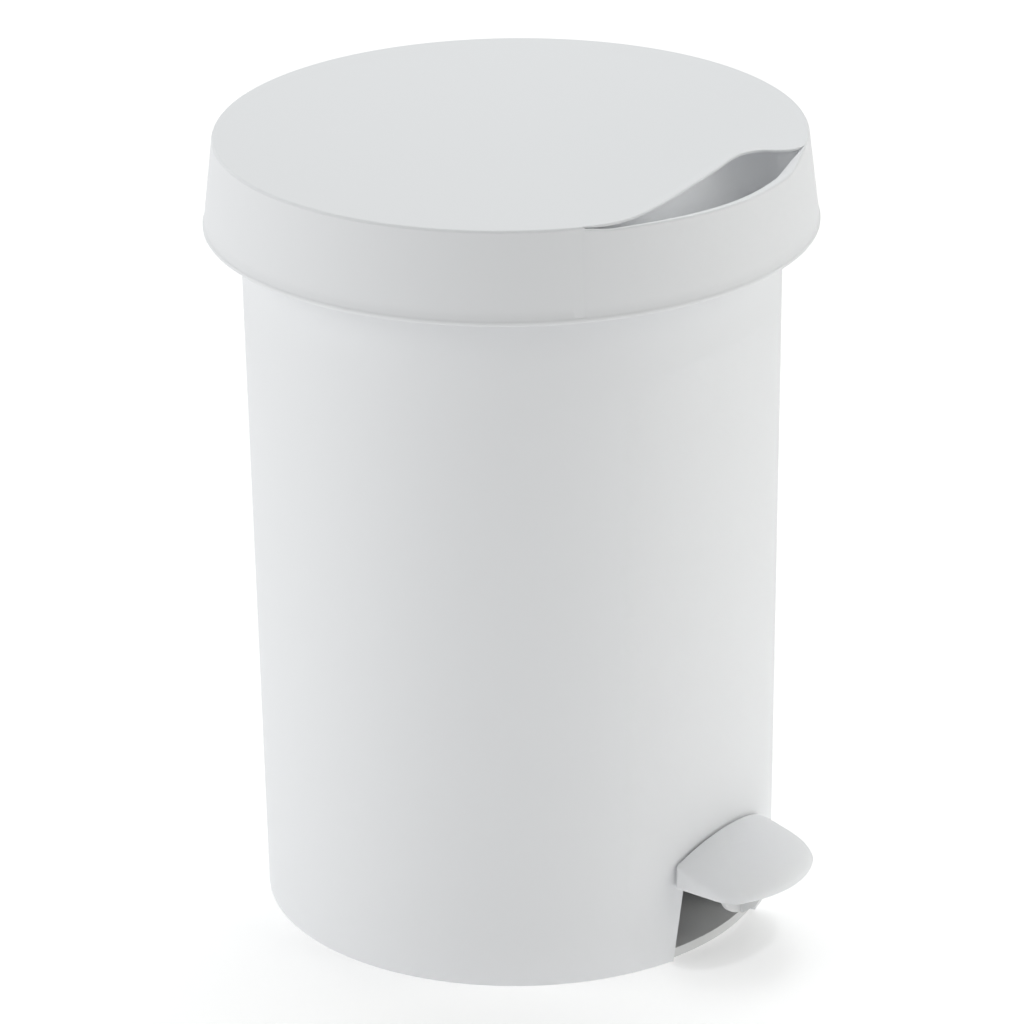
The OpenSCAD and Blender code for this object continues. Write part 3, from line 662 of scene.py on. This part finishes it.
def pad_shell(pedal):
    """Pad as one closed surface: columns along the outline, rows from the dome's middle over the edge,
    down the apron, round its foot and back under.

    Dome: height of a ball squeezed sideways, z = c + sqrt(r^2 - 1.24 x^2 - (y - b)^2). At a distance d from
    its edge it is lowered by 0.8 * (e - sqrt(e^2 - (e - d)^2)), where e grows from the back edge's radius to
    the edge's radius over the first 10 mm away from the body.
    """
    outline = pad_outline(pedal)
    hub = np.array([0.0, -104.0 * MM])
    ball_y, ball_z, squeeze = -87 * MM, -13 * MM, 1.24
    span = np.linalg.norm(outline - hub, axis=1)
    rows = []

    def dome(plan, radius):
        return ball_z + np.sqrt(radius**2 - squeeze * plan[:, 0] ** 2 - (plan[:, 1] - ball_y) ** 2)

    def row(plan, z):
        rows.append(np.column_stack([plan, z]))

    def inside(distance):
        return hub + (outline - hub) * (1 - distance / span)[:, None]

    from_body = np.linalg.norm(outline, axis=1) - pedal.back
    e = pedal.back_edge + (pedal.edge - pedal.back_edge) * ease(from_body / (10 * MM))
    for t in np.array([0, 0.2, 0.4, 0.55, 0.68, 0.78, 0.85, 0.9]) / 0.95:
        plan = hub + t * (inside(e) - hub)
        row(plan, dome(plan, pedal.dome))
    for inset in [1, 0.8, 0.62, 0.46, 0.32, 0.2, 0.1, 0.04, 0]:
        plan = inside(inset * e)
        row(plan, dome(plan, pedal.dome) - 0.8 * e * (1 - math.sqrt(1 - (1 - inset) ** 2)))
    crease = rows[-1][:, 2]
    for t in [0.25, 0.5, 0.75, 0.9]:
        row(outline, crease * (1 - t) + (pedal.rim + 0.6 * MM) * t)
    wall = pedal.wall / MM
    for pull, up in [(0.05, 0.3), (0.2, 0.08), (0.6, 0), (wall - 0.3, 0), (wall, 0.3)]:
        row(inside(pull * MM), np.full(len(outline), pedal.rim + up * MM))
    inner = inside(pedal.wall)
    under = pedal.dome - pedal.wall
    row(inner, dome(inner, under) - 1.5 * MM)
    for t in [0.94, 0.8, 0.5, 0.2, 0]:
        plan = hub + (inner - hub) * t
        row(plan, dome(plan, under))
    return closed_grid(np.stack(rows, 1))


class PEDALBIN_OT_pedal(bpy.types.Operator):
    """Builds the domed pedal pad with its apron"""

    bl_idname = "pedalbin.pedal"
    bl_label = "Pedal pad"

    def execute(self, context):
        pedal = context.scene.pedal_bin.pedal
        white = bpy.data.materials["white_plastic"]
        pad = add_piece("pad_shell", [pad_shell(pedal)], "pedal", "pedal_pad", white, sharp=50)
        return {"FINISHED"}


# ---- Materials --------------------------------------------------------------


def new_group(name, inputs, outputs):
    """Shader node group with named sockets; inputs and outputs are (name, kind, default) rows.

    Returns its tree and its input and output nodes.
    """
    tree = bpy.data.node_groups.new(name, "ShaderNodeTree")
    for rows, way in ((inputs, "INPUT"), (outputs, "OUTPUT")):
        for label, kind, default in rows:
            socket = tree.interface.new_socket(name=label, in_out=way, socket_type="NodeSocket" + kind)
            if default is not None:
                socket.default_value = default
    return tree, tree.nodes.new("NodeGroupInput"), tree.nodes.new("NodeGroupOutput")


def add_node(tree, kind, **values):
    """Node with some of its inputs set: plain values are defaults, sockets are linked."""
    node = tree.nodes.new("ShaderNode" + kind)
    for label, value in values.items():
        label = label.replace("_", " ")
        if isinstance(value, bpy.types.NodeSocket):
            tree.links.new(value, node.inputs[label])
        else:
            node.inputs[label].default_value = value
    return node


def math_node(tree, operation, first, second=None, third=None):
    """Output of a Math node: sockets are linked and numbers set."""
    node = tree.nodes.new("ShaderNodeMath")
    node.operation = operation
    for socket, value in zip(node.inputs, (first, second, third)):
        if isinstance(value, bpy.types.NodeSocket):
            tree.links.new(value, socket)
        elif value is not None:
            socket.default_value = value
    return node.outputs[0]


def mix_colour(tree, factor, first, second):
    """Output of a Mix node that goes from the first colour to the second with the factor."""
    node = tree.nodes.new("ShaderNodeMix")
    node.data_type = "RGBA"
    for label, value in (("Factor", factor), ("A", first), ("B", second)):
        socket = next(s for s in node.inputs if s.name == label and (label == "Factor" or s.type == "RGBA"))
        if isinstance(value, bpy.types.NodeSocket):
            tree.links.new(value, socket)
        else:
            socket.default_value = value
    return next(s for s in node.outputs if s.type == "RGBA")


def stretched(tree, vector, scale):
    """Vector stretched by a Mapping node."""
    node = tree.nodes.new("ShaderNodeMapping")
    tree.links.new(vector, node.inputs["Vector"])
    node.inputs["Scale"].default_value = scale
    return node.outputs[0]


def build_mould_grain():
    """Height of a moulded surface: fine spark grain over the slow waves of cooled plastic."""
    tree, start, end = new_group(
        "mould_grain",
        [("Vector", "Vector", None), ("Grain Size", "Float", 0.0006), ("Wave Size", "Float", 0.03),
         ("Wave Share", "Float", 0.5)],
        [("Height", "Float", None)],
    )
    fine = add_node(tree, "TexNoise", Vector=start.outputs["Vector"], Detail=2.0, Roughness=0.6,
                    Scale=math_node(tree, "DIVIDE", 1.0, start.outputs["Grain Size"]))
    slow = add_node(tree, "TexNoise", Vector=start.outputs["Vector"], Detail=1.0, Roughness=0.4,
                    Scale=math_node(tree, "DIVIDE", 1.0, start.outputs["Wave Size"]))
    waves = math_node(tree, "MULTIPLY", slow.outputs[0], start.outputs["Wave Share"])
    tree.links.new(math_node(tree, "ADD", fine.outputs[0], waves), end.inputs["Height"])
    return tree


def build_handling():
    """Patchy wear: cloudy smears, fine scuffs, and dust that settles towards a height."""
    tree, start, end = new_group(
        "handling",
        [("Vector", "Vector", None), ("Clean", "Color", (1, 1, 1, 1)), ("Worn", "Color", (1, 1, 1, 1)),
         ("Patch Size", "Float", 0.06), ("Scuff Size", "Float", 0.004), ("Amount", "Float", 0.5),
         ("Dust Height", "Float", 0.01), ("Dust Depth", "Float", 0.02), ("Roughness", "Float", 0.4)],
        [("Color", "Color", None), ("Roughness", "Float", None)],
    )
    vector = start.outputs["Vector"]
    cloud = add_node(tree, "TexNoise", Vector=vector, Detail=4.0, Roughness=0.55,
                     Scale=math_node(tree, "DIVIDE", 1.0, start.outputs["Patch Size"]))
    scuff = add_node(tree, "TexNoise", Vector=stretched(tree, vector, (1, 1, 4)), Detail=3.0, Roughness=0.7,
                     Distortion=0.6, Scale=math_node(tree, "DIVIDE", 1.0, start.outputs["Scuff Size"]))
    patches = add_node(tree, "MapRange", Value=cloud.outputs[0], From_Min=0.42, From_Max=0.72)
    scuffs = add_node(tree, "MapRange", Value=scuff.outputs[0], From_Min=0.55, From_Max=0.75)
    height = tree.nodes.new("ShaderNodeSeparateXYZ")
    tree.links.new(vector, height.inputs[0])
    below = math_node(tree, "SUBTRACT", start.outputs["Dust Height"], height.outputs["Z"])
    settled = math_node(tree, "DIVIDE", below, start.outputs["Dust Depth"])
    dust = add_node(tree, "MapRange", Value=settled, From_Min=-1.0, From_Max=0.3)
    dusty = math_node(tree, "MULTIPLY", dust.outputs[0], math_node(tree, "ADD", cloud.outputs[0], 0.2))
    rubbed = math_node(tree, "MULTIPLY", math_node(tree, "ADD", patches.outputs[0], scuffs.outputs[0]), 0.5)
    mask = math_node(tree, "MULTIPLY", math_node(tree, "MAXIMUM", rubbed, dusty), start.outputs["Amount"])
    tree.links.new(mix_colour(tree, mask, start.outputs["Clean"], start.outputs["Worn"]), end.inputs["Color"])
    rough = math_node(tree, "MULTIPLY_ADD", mask, 0.18, start.outputs["Roughness"])
    tree.links.new(rough, end.inputs["Roughness"])
    return tree


def build_drawn_lines():
    """Fine parallel lines that a tool leaves along one axis, as height and as a mask."""
    tree, start, end = new_group(
        "drawn_lines",
        [("Vector", "Vector", None), ("Line Size", "Float", 0.0004)],
        [("Height", "Float", None), ("Mask", "Float", None)],
    )
    lines = add_node(tree, "TexNoise", Vector=start.outputs["Vector"], Detail=3.0, Roughness=0.6,
                     Scale=math_node(tree, "DIVIDE", 1.0, start.outputs["Line Size"]))
    marked = add_node(tree, "MapRange", Value=lines.outputs[0], From_Min=0.4, From_Max=0.7)
    tree.links.new(lines.outputs[0], end.inputs["Height"])
    tree.links.new(marked.outputs[0], end.inputs["Mask"])
    return tree


def place_group(tree, group, **values):
    """Shared group placed in a material's tree; sockets are linked and plain values set."""
    node = tree.nodes.new("ShaderNodeGroup")
    node.node_tree = group
    for label, value in values.items():
        socket = node.inputs[label.replace("_", " ")]
        if isinstance(value, bpy.types.NodeSocket):
            tree.links.new(value, socket)
        else:
            socket.default_value = value
    return node


def new_material(name):
    """Empty material with its tree, shader and Object coordinates."""
    material = bpy.data.materials.new(name)
    material.use_nodes = True
    tree = material.node_tree
    shader = tree.nodes["Principled BSDF"]
    place = tree.nodes.new("ShaderNodeTexCoord").outputs["Object"]
    return material, tree, shader, place


def link_bump(tree, shader, height, strength, distance):
    """Bump node between a height and the shader's normal."""
    bump = add_node(tree, "Bump", Strength=strength, Distance=distance, Height=height)
    tree.links.new(bump.outputs["Normal"], shader.inputs["Normal"])


def opaque(rgb):
    return (*rgb, 1.0)


def white_plastic(finish):
    """Satin polypropylene with a fine spark grain, faint handling and dust near the floor."""
    material, tree, shader, place = new_material("white_plastic")
    grain = place_group(tree, bpy.data.node_groups["mould_grain"], Vector=place, Grain_Size=0.0007,
                        Wave_Size=0.045, Wave_Share=1.2)
    wear = place_group(tree, bpy.data.node_groups["handling"], Vector=place, Clean=opaque(finish.white),
                       Worn=opaque(finish.white_worn), Patch_Size=0.07, Scuff_Size=0.005, Amount=0.28,
                       Dust_Height=0.002, Dust_Depth=0.012, Roughness=finish.plastic_roughness)
    tree.links.new(wear.outputs["Color"], shader.inputs["Base Color"])
    tree.links.new(wear.outputs["Roughness"], shader.inputs["Roughness"])
    shader.inputs["IOR"].default_value = 1.49
    shader.inputs["Subsurface Weight"].default_value = 0.12
    shader.inputs["Subsurface Radius"].default_value = (1.0, 0.95, 0.9)
    shader.inputs["Subsurface Scale"].default_value = 0.0012
    link_bump(tree, shader, grain.outputs["Height"], 0.25, 0.00006)
    return material


def grey_plastic(finish):
    """Bucket plastic: softer and more matt, with draw lines up the mould and light scuffs."""
    material, tree, shader, place = new_material("grey_plastic")
    draw = place_group(tree, bpy.data.node_groups["drawn_lines"], Vector=stretched(tree, place, (1, 1, 0.04)),
                       Line_Size=0.0012)
    grain = place_group(tree, bpy.data.node_groups["mould_grain"], Vector=place, Grain_Size=0.0009,
                        Wave_Size=0.03, Wave_Share=0.8)
    wear = place_group(tree, bpy.data.node_groups["handling"], Vector=place, Clean=opaque(finish.grey),
                       Worn=opaque(finish.grey_worn), Patch_Size=0.04, Scuff_Size=0.003, Amount=0.6,
                       Dust_Height=0.05, Dust_Depth=0.03, Roughness=0.46)
    tree.links.new(wear.outputs["Color"], shader.inputs["Base Color"])
    tree.links.new(wear.outputs["Roughness"], shader.inputs["Roughness"])
    shader.inputs["IOR"].default_value = 1.49
    height = math_node(tree, "MULTIPLY_ADD", draw.outputs["Height"], 0.6, grain.outputs["Height"])
    link_bump(tree, shader, height, 0.3, 0.00007)
    return material


def bright_steel(finish, name, stretch, line_size, roughness):
    """Zinc-plated steel: tool lines along the part and a cloudy bloom that dulls it."""
    material, tree, shader, place = new_material(name)
    lines = place_group(tree, bpy.data.node_groups["drawn_lines"], Vector=stretched(tree, place, stretch),
                        Line_Size=line_size)
    wear = place_group(tree, bpy.data.node_groups["handling"], Vector=place, Clean=opaque(finish.steel),
                       Worn=opaque(finish.steel_dull), Patch_Size=0.008, Scuff_Size=0.0015, Amount=0.8,
                       Dust_Height=-1.0, Dust_Depth=0.01, Roughness=roughness)
    tree.links.new(wear.outputs["Color"], shader.inputs["Base Color"])
    rough = math_node(tree, "MULTIPLY_ADD", lines.outputs["Mask"], 0.1, wear.outputs["Roughness"])
    tree.links.new(rough, shader.inputs["Roughness"])
    shader.inputs["Metallic"].default_value = 1.0
    link_bump(tree, shader, lines.outputs["Height"], 0.3, 0.00003)
    return material


def dark_rubber(finish):
    """Matt rubber with a pebbled skin that holds pale dust."""
    material, tree, shader, place = new_material("rubber")
    grain = place_group(tree, bpy.data.node_groups["mould_grain"], Vector=place, Grain_Size=0.0008,
                        Wave_Size=0.006, Wave_Share=0.4)
    wear = place_group(tree, bpy.data.node_groups["handling"], Vector=place, Clean=opaque(finish.rubber),
                       Worn=opaque(finish.rubber_dust), Patch_Size=0.006, Scuff_Size=0.0012, Amount=0.8,
                       Dust_Height=0.0, Dust_Depth=0.002, Roughness=0.72)
    tree.links.new(wear.outputs["Color"], shader.inputs["Base Color"])
    tree.links.new(wear.outputs["Roughness"], shader.inputs["Roughness"])
    link_bump(tree, shader, grain.outputs["Height"], 0.5, 0.0002)
    return material


class PEDALBIN_OT_finishes(bpy.types.Operator):
    """Makes the shared effects and the four finishes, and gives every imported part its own"""

    bl_idname = "pedalbin.finishes"
    bl_label = "Finishes"

    def execute(self, context):
        finish = context.scene.pedal_bin.finish
        build_mould_grain()
        build_handling()
        build_drawn_lines()
        made = {
            "white": white_plastic(finish),
            "grey": grey_plastic(finish),
            "steel": bright_steel(finish, "steel", (1, 1, 1), 0.0006, 0.3),
            "wire": bright_steel(finish, "drawn_wire", (1, 1, 0.1), 0.0005, 0.24),
            "rubber": dark_rubber(finish),
        }
        for node, kind in FINISH_OF_NODE.items():
            mesh = NODES[node].data
            mesh.materials.clear()
            mesh.materials.append(made[kind])
        missing = set(NODES) - set(FINISH_OF_NODE)
        if missing:
            raise RuntimeError(f"no finish for {sorted(missing)}")
        return {"FINISHED"}


# ---- Stage ------------------------------------------------------------------


def aim(thing, place, target, roll=0.0):
    """Turns a camera or light at place towards target, -Z ahead, rolled about its own axis."""
    back = (Vector(place) - Vector(target)).normalized()
    turn = back.to_track_quat("Z", "Y").to_matrix().to_4x4()
    thing.matrix_world = Matrix.Translation(place) @ turn @ Matrix.Rotation(roll, 4, "Z")


def soft_light(name, azimuth, elevation, distance, size, power, tint, middle=Vector((0, 0, 0.15))):
    """Square area light seen from a middle point at an azimuth and elevation, in degrees."""
    a, e = math.radians(azimuth), math.radians(elevation)
    data = bpy.data.lights.new(name, "AREA")
    data.shape = "SQUARE"
    data.size = size
    data.energy = power
    data.color = tint
    light = bpy.data.objects.new(name, data)
    bpy.context.scene.collection.objects.link(light)
    place = middle + distance * Vector((math.sin(a) * math.cos(e), -math.cos(a) * math.cos(e), math.sin(e)))
    aim(light, place, middle)
    return data


class PEDALBIN_OT_stage(bpy.types.Operator):
    """Makes the floor, the soft lights, the plain surroundings and the camera"""

    bl_idname = "pedalbin.stage"
    bl_label = "Stage"

    def execute(self, context):
        stage = context.scene.pedal_bin.stage
        side = 6.0
        mesh = bpy.data.meshes.new("floor")
        corners = [(-side, -side, 0), (side, -side, 0), (side, side, 0), (-side, side, 0)]
        mesh.from_pydata(corners, [], [(0, 1, 2, 3)])
        floor = bpy.data.objects.new("floor", mesh)
        context.scene.collection.objects.link(floor)
        material, tree, shader, place = new_material("floor_card")
        grain = place_group(tree, bpy.data.node_groups["mould_grain"], Vector=place, Grain_Size=0.004,
                            Wave_Size=0.4, Wave_Share=0.6)
        shader.inputs["Base Color"].default_value = opaque(stage.floor)
        shader.inputs["Roughness"].default_value = 0.85
        shader.inputs["Emission Color"].default_value = opaque(stage.floor)
        shader.inputs["Emission Strength"].default_value = 0.34
        link_bump(tree, shader, grain.outputs["Height"], 0.1, 0.0001)
        mesh.materials.append(material)

        azimuth = math.degrees(stage.azimuth)
        soft_light("left_softbox", azimuth - 78, 22, 2.2, 1.6, 15, (0.99, 1.0, 0.995))
        soft_light("right_softbox", azimuth + 80, 22, 2.2, 1.6, 12.2, (1.0, 1.0, 0.95))
        soft_light("top_softbox", azimuth + 180, 62, 2.4, 2.0, 30, (0.98, 1.0, 1.0))
        pad_middle = Vector((0, -0.11, 0.03))
        fill = soft_light("pedal_fill", 5, 65, 1.1, 0.2, 0.012, (0.98, 0.99, 1.0), pad_middle)
        fill.spread = math.radians(8)
        world = bpy.data.worlds.new("studio")
        context.scene.world = world
        world.use_nodes = True
        sky = world.node_tree.nodes["Background"]
        sky.inputs["Color"].default_value = (0.98, 0.985, 0.98, 1.0)
        sky.inputs["Strength"].default_value = 0.27
        context.scene.view_settings.view_transform = "Standard"

        data = bpy.data.cameras.new("camera")
        data.sensor_width = 36.0
        data.lens = 192.5
        data.clip_start, data.clip_end = 0.05, 50.0
        camera = bpy.data.objects.new("camera", data)
        context.scene.collection.objects.link(camera)
        a, e = stage.azimuth, stage.elevation
        sideways = Vector((math.cos(a), math.sin(a), 0)) * stage.target_side
        target = sideways + Vector((0, 0, stage.target_height))
        back = Vector((math.sin(a) * math.cos(e), -math.cos(a) * math.cos(e), math.sin(e)))
        aim(camera, target + back * stage.distance, target, stage.roll)
        context.scene.camera = camera
        return {"FINISHED"}


# ---- Add-on -----------------------------------------------------------------


class PEDALBIN_PT_panel(bpy.types.Panel):
    """Lists the steps that build the pedal bin"""

    bl_idname = "PEDALBIN_PT_panel"
    bl_label = "Pedal Bin"
    bl_space_type = "VIEW_3D"
    bl_region_type = "UI"
    bl_category = "Pedal Bin"

    def draw(self, context):
        settings = context.scene.pedal_bin
        for step in STEPS:
            self.layout.operator(step.bl_idname)
        for part in ("lid", "body", "pedal", "finish", "stage"):
            box = self.layout.box()
            group = getattr(settings, part)
            for name in group.__annotations__:
                box.prop(group, name)


STEPS = (
    PEDALBIN_OT_finishes,
    PEDALBIN_OT_lid,
    PEDALBIN_OT_body,
    PEDALBIN_OT_pedal,
    PEDALBIN_OT_stage,
)

CLASSES = (
    PEDALBIN_PG_lid,
    PEDALBIN_PG_body,
    PEDALBIN_PG_pedal,
    PEDALBIN_PG_finish,
    PEDALBIN_PG_stage,
    PEDALBIN_PG_all,
    *STEPS,
    PEDALBIN_PT_panel,
)


def register():
    for made in CLASSES:
        bpy.utils.register_class(made)
    bpy.types.Scene.pedal_bin = PointerProperty(type=PEDALBIN_PG_all)


def unregister():
    del bpy.types.Scene.pedal_bin
    for made in reversed(CLASSES):
        bpy.utils.unregister_class(made)


def main():
    register()
    for step in STEPS:
        group, name = step.bl_idname.split(".")
        getattr(getattr(bpy.ops, group), name)()


if __name__ == "__main__":
    main()
